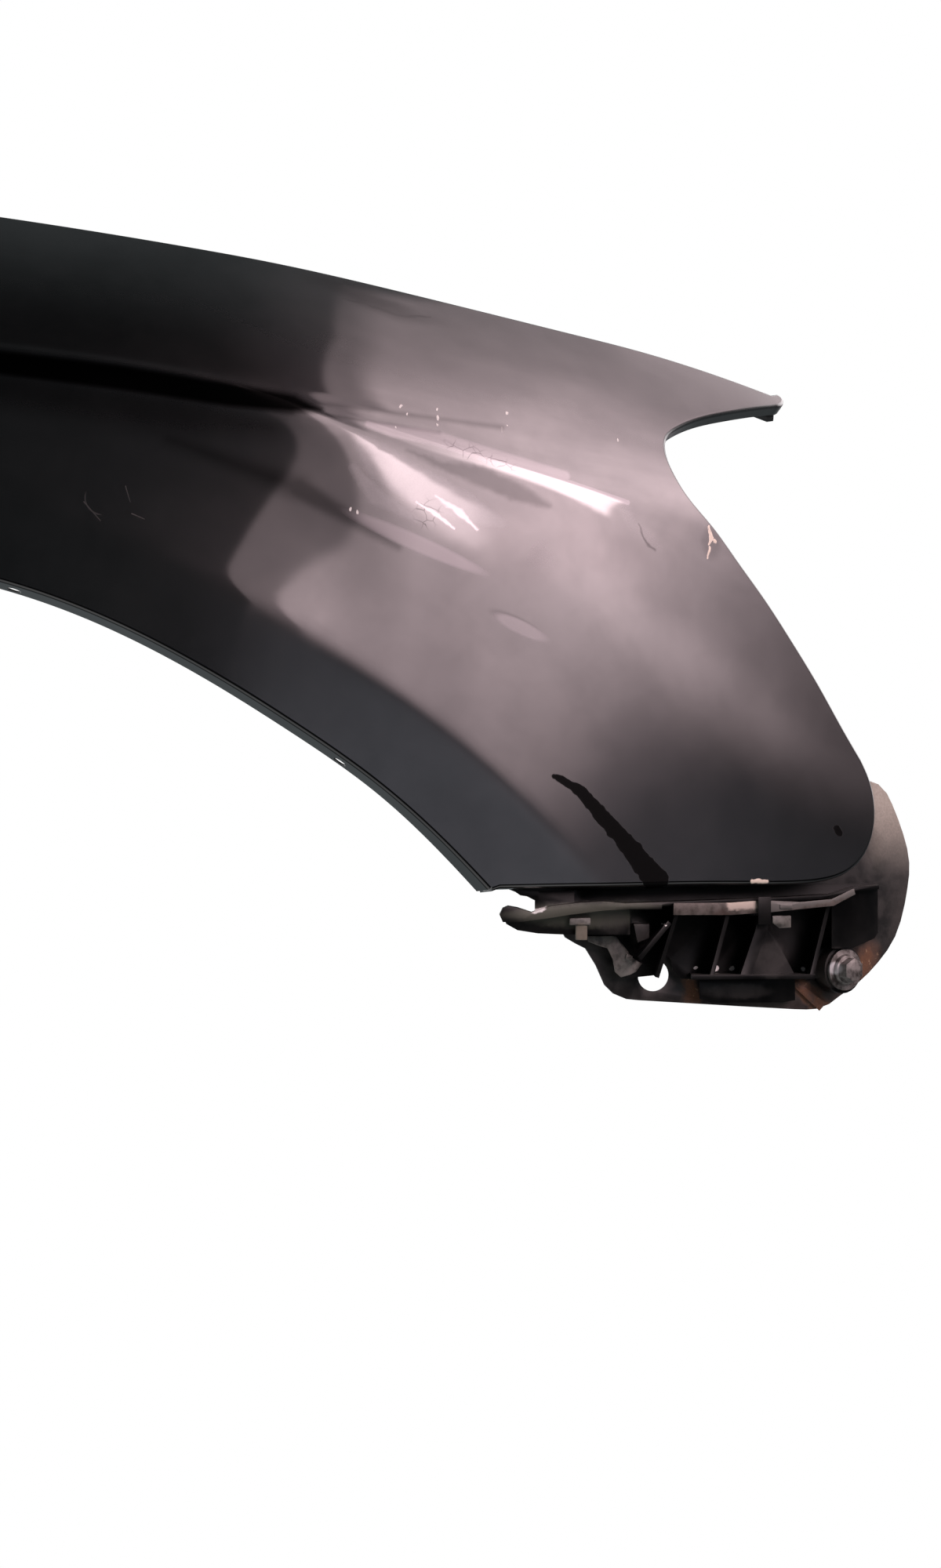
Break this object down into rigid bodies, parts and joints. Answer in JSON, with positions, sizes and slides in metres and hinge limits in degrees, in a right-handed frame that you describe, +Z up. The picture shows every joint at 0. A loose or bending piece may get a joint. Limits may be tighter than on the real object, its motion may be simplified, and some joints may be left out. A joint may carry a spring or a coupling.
{
  "type": "car front fender",
  "caption": "Right-hand front wing of a car: pressed steel skin with wheel arch, shoulder crease and folded bolt flange, carrying a ribbed corner bracket under its nose.",
  "frame": {"origin": "underside of the middle bolt pad of the upper flange, straight above the wheel centre", "axes": "+X forward along the car, +Y to the inside of the car, +Z up; the painted face looks along -Y"},
  "size_m": [1.0461, 0.2479, 0.6792],
  "materials": {
    "paint": "glossy dark metallic paint, scuffed and scratched",
    "primer": "satin dark body primer",
    "moulded_black": "moulded black plastic, dusty",
    "dull_steel": "dull, tarnished and a little rusty",
    "zinc": "worn zinc plate",
    "clip_grey": "weathered grey plastic"
  },
  "bodies": {
    "root": {"fender_panel": "paint", "support_plate": "primer", "bumper_bracket": "moulded_black", "retainer_strip": "dull_steel", "bracket_bolt": "zinc", "bolt_washer": "zinc", "weld_nut": "zinc", "push_clip": "clip_grey", "tee_clip": "clip_grey", "retaining_spring": "clip_grey", "lamp_bracket": "primer", "rear_upper_bracket": "primer", "rear_lower_bracket": "primer"}
  },
  "joints": []
}
